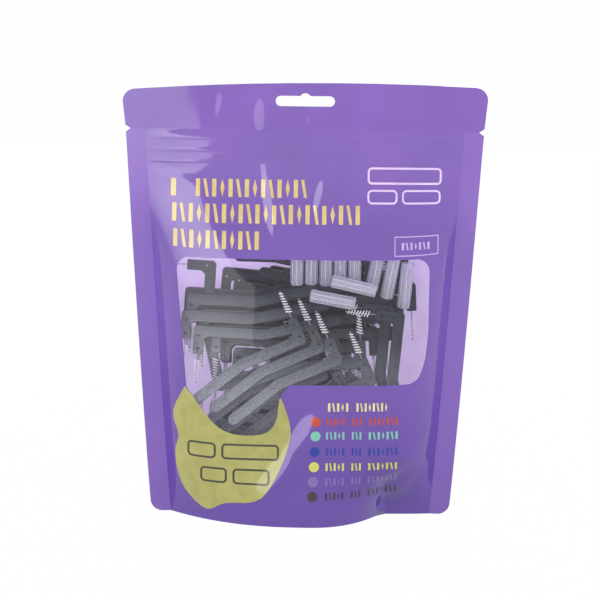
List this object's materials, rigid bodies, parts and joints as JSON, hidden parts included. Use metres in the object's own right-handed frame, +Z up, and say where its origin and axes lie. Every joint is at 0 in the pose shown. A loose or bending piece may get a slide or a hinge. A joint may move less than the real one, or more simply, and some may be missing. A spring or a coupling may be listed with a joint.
{
  "type": "zip pouch of interdental brushes",
  "caption": "Standing purple zip pouch with a clear window and a hang slot, full of grey L-shaped interdental brushes and clear caps.",
  "frame": {"origin": "centre of the bounding box's bottom, on the floor under the standing pouch", "axes": "+X to the right seen from the front, +Y from the windowed front to the back, +Z up"},
  "size_m": [0.16, 0.0542, 0.1945],
  "materials": {
    "purple_film": "glossy printed laminate film",
    "clear_film": "clear glossy film",
    "gusset_film": "glossy printed laminate film",
    "seal_film": "heat-sealed glossy film",
    "zip_plastic": "extruded polyethylene",
    "cap_plastic": "clear moulded plastic",
    "grey_plastic": "satin moulded plastic",
    "steel_wire": "twisted stainless wire",
    "white_nylon": "nylon filament"
  },
  "bodies": {
    "pouch": {"front_film": "purple_film", "front_window": "clear_film", "back_film": "purple_film", "bottom_gusset": "gusset_film", "left_side_seal": "seal_film", "right_side_seal": "seal_film", "back_lip": "purple_film", "zip_rib": "zip_plastic", "cap_01": "cap_plastic", "cap_02": "cap_plastic", "cap_03": "cap_plastic", "cap_04": "cap_plastic", "cap_05": "cap_plastic", "cap_06": "cap_plastic", "cap_07": "cap_plastic", "cap_08": "cap_plastic", "cap_09": "cap_plastic", "cap_10": "cap_plastic", "brush_01_handle": "grey_plastic", "brush_01_wire": "steel_wire", "brush_01_bristles": "white_nylon", "brush_02_handle": "grey_plastic", "brush_02_wire": "steel_wire", "brush_02_bristles": "white_nylon", "brush_03_handle": "grey_plastic", "brush_03_wire": "steel_wire", "brush_03_bristles": "white_nylon", "brush_04_handle": "grey_plastic", "brush_04_wire": "steel_wire", "brush_04_bristles": "white_nylon", "brush_05_handle": "grey_plastic", "brush_05_wire": "steel_wire", "brush_05_bristles": "white_nylon", "brush_06_handle": "grey_plastic", "brush_06_wire": "steel_wire", "brush_06_bristles": "white_nylon", "brush_07_handle": "grey_plastic", "brush_07_wire": "steel_wire", "brush_07_bristles": "white_nylon", "brush_08_handle": "grey_plastic", "brush_08_wire": "steel_wire", "brush_08_bristles": "white_nylon", "brush_09_handle": "grey_plastic", "brush_09_wire": "steel_wire", "brush_09_bristles": "white_nylon", "brush_10_handle": "grey_plastic", "brush_10_wire": "steel_wire", "brush_10_bristles": "white_nylon", "front_pile_handles": "grey_plastic", "front_pile_wires": "steel_wire", "front_pile_bristles": "white_nylon", "back_pile_handles": "grey_plastic", "back_pile_wires": "steel_wire", "back_pile_bristles": "white_nylon"},
    "header": {"header_strip": "purple_film"},
    "mouth": {"front_lip": "purple_film", "zip_groove": "zip_plastic"}
  },
  "joints": [
    {"name": "header_tear_off", "type": "slide", "parent": "pouch", "child": "header", "axis": [0, 0, 1], "range_m": [0, 0.06]},
    {"name": "mouth_open", "type": "hinge", "parent": "pouch", "child": "mouth", "pos_m": [0, -0.001, 0.158], "axis": [1, 0, 0], "range_deg": [0, 25]}
  ]
}
